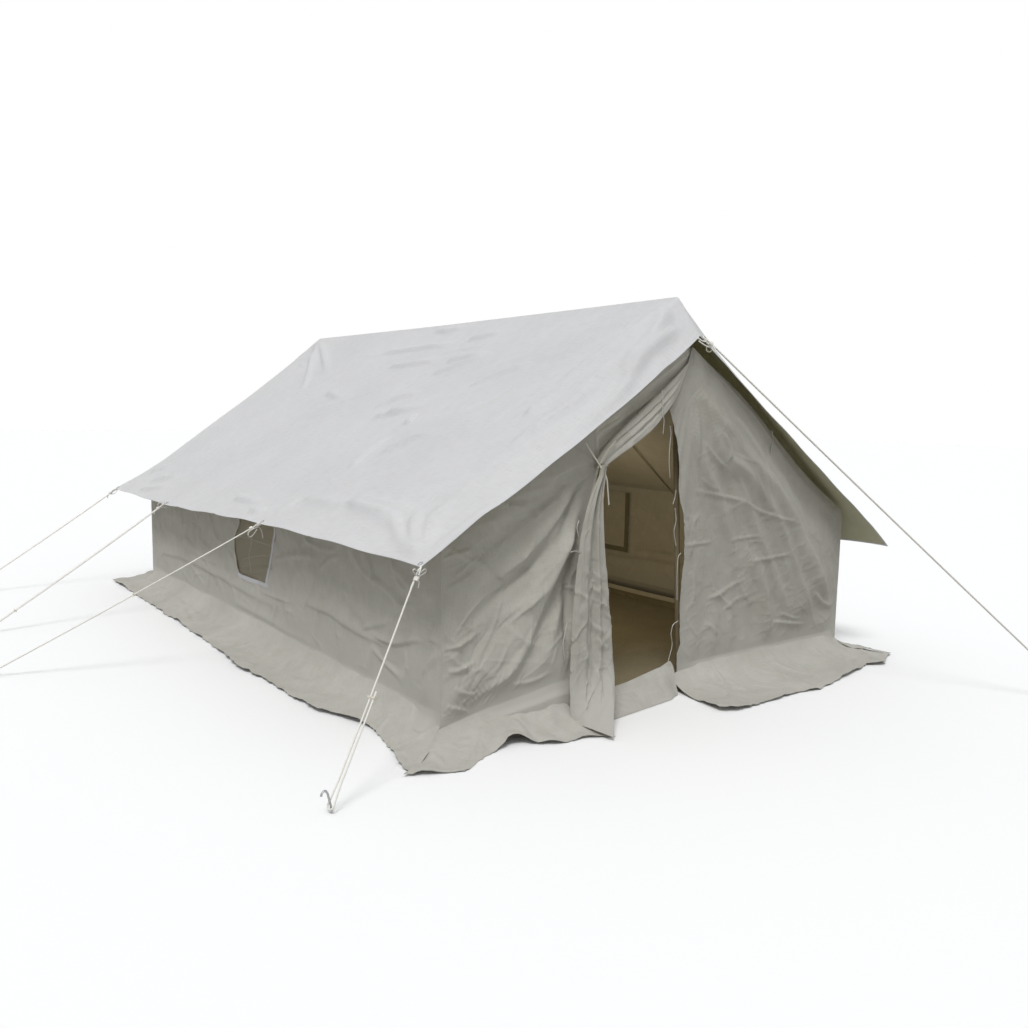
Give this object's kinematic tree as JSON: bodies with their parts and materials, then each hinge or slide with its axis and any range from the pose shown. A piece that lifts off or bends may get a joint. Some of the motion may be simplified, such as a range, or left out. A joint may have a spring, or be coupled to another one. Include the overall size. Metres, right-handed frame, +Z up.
{
  "type": "double fly ridge tent",
  "caption": "Canvas ridge tent with an outer fly, walls, mud flaps, a half-open front door, window flaps, a pole frame, a groundsheet and guy ropes with runners and pegs.",
  "frame": {"origin": "on the ground under the middle of the tent, without its ropes and pegs", "axes": "+Z up, the ridge along Y, the front door facing -Y, the side with the side guy ropes at -X"},
  "size_m": [6.4321, 8.501, 2.8237],
  "materials": {
    "fly_canvas": "pale grey proofed canvas",
    "canvas": "undyed cotton canvas",
    "ground_cloth": "woven coated cloth",
    "steel": "galvanised tube",
    "rope": "laid cotton rope",
    "nylon": "moulded, matte"
  },
  "bodies": {
    "tent": {"outer_fly": "fly_canvas", "inner_roof": "canvas", "side_wall_left": "canvas", "side_wall_right": "canvas", "gable_front_left": "canvas", "gable_front_header": "canvas", "gable_front_right": "canvas", "gable_back": "canvas", "door_flap_left_fold": "canvas", "door_tie_left": "canvas", "door_sill": "canvas", "mud_flap_left": "canvas", "mud_flap_right": "canvas", "mud_flap_front_left": "canvas", "mud_flap_front_right": "canvas", "mud_flap_back": "canvas", "groundsheet": "ground_cloth", "upright_front_foot": "steel", "upright_front_lower": "steel", "upright_front_upper": "steel", "upright_front_spigot": "steel", "upright_middle_foot": "steel", "upright_middle_lower": "steel", "upright_middle_upper": "steel", "upright_middle_spigot": "steel", "upright_back_foot": "steel", "upright_back_lower": "steel", "upright_back_upper": "steel", "upright_back_spigot": "steel", "ridge_pole_front": "steel", "ridge_pole_back": "steel", "ridge_pole_sleeve": "steel", "wall_pole_left_front": "steel", "wall_pole_left_fore": "steel", "wall_pole_left_aft": "steel", "wall_pole_left_back": "steel", "wall_pole_right_front": "steel", "wall_pole_right_fore": "steel", "wall_pole_right_aft": "steel", "wall_pole_right_back": "steel", "guy_rope_back_left": "rope", "peg_back_left": "steel", "guy_rope_side_back": "rope", "peg_side_back": "steel", "guy_rope_side_front": "rope", "peg_side_front": "steel", "guy_rope_front_left": "rope", "peg_front_left": "steel", "guy_rope_ridge_front": "rope", "peg_ridge_front": "steel"},
    "door_flap_left": {"door_flap_left": "canvas"},
    "door_flap_right": {"door_flap_right": "canvas"},
    "guy_runner_back_left": {"guy_runner_back_left": "nylon"},
    "guy_runner_front_left": {"guy_runner_front_left": "nylon"},
    "guy_runner_ridge_front": {"guy_runner_ridge_front": "nylon"},
    "guy_runner_side_back": {"guy_runner_side_back": "nylon"},
    "guy_runner_side_front": {"guy_runner_side_front": "nylon"},
    "window_flap_left": {"window_flap_left": "canvas"},
    "window_flap_right": {"window_flap_right": "canvas"}
  },
  "joints": [
    {"name": "door_flap_right_fold", "type": "hinge", "parent": "tent", "child": "door_flap_right", "pos_m": [0.95, -3.002, 0.068], "axis": [-0.4862, 0, 0.8739], "range_deg": [0, 165]},
    {"name": "door_flap_left_swing", "type": "hinge", "parent": "tent", "child": "door_flap_left", "pos_m": [-0.81, -3.06, 1.63], "axis": [-1, 0, 0], "range_deg": [0, 45]},
    {"name": "window_flap_left_hinge", "type": "hinge", "parent": "tent", "child": "window_flap_left", "pos_m": [-1.974, -0.02, 1.14], "axis": [0, -1, 0], "range_deg": [-110, 0]},
    {"name": "window_flap_right_hinge", "type": "hinge", "parent": "tent", "child": "window_flap_right", "pos_m": [1.974, -0.02, 1.14], "axis": [0, 1, 0], "range_deg": [0, 110]},
    {"name": "guy_runner_back_left_slide", "type": "slide", "parent": "tent", "child": "guy_runner_back_left", "axis": [0.8294, -0.049, 0.5565], "range_m": [0, 0.12]},
    {"name": "guy_runner_side_back_slide", "type": "slide", "parent": "tent", "child": "guy_runner_side_back", "axis": [0.8374, 0.0113, 0.5464], "range_m": [0, 0.12]},
    {"name": "guy_runner_side_front_slide", "type": "slide", "parent": "tent", "child": "guy_runner_side_front", "axis": [0.7505, -0.4353, 0.4973], "range_m": [0, 0.12]},
    {"name": "guy_runner_front_left_slide", "type": "slide", "parent": "tent", "child": "guy_runner_front_left", "axis": [0.483, 0.1425, 0.8639], "range_m": [0, 0.12]},
    {"name": "guy_runner_ridge_front_slide", "type": "slide", "parent": "tent", "child": "guy_runner_ridge_front", "axis": [-0.5763, 0.4741, 0.6657], "range_m": [0, 0.12]}
  ]
}
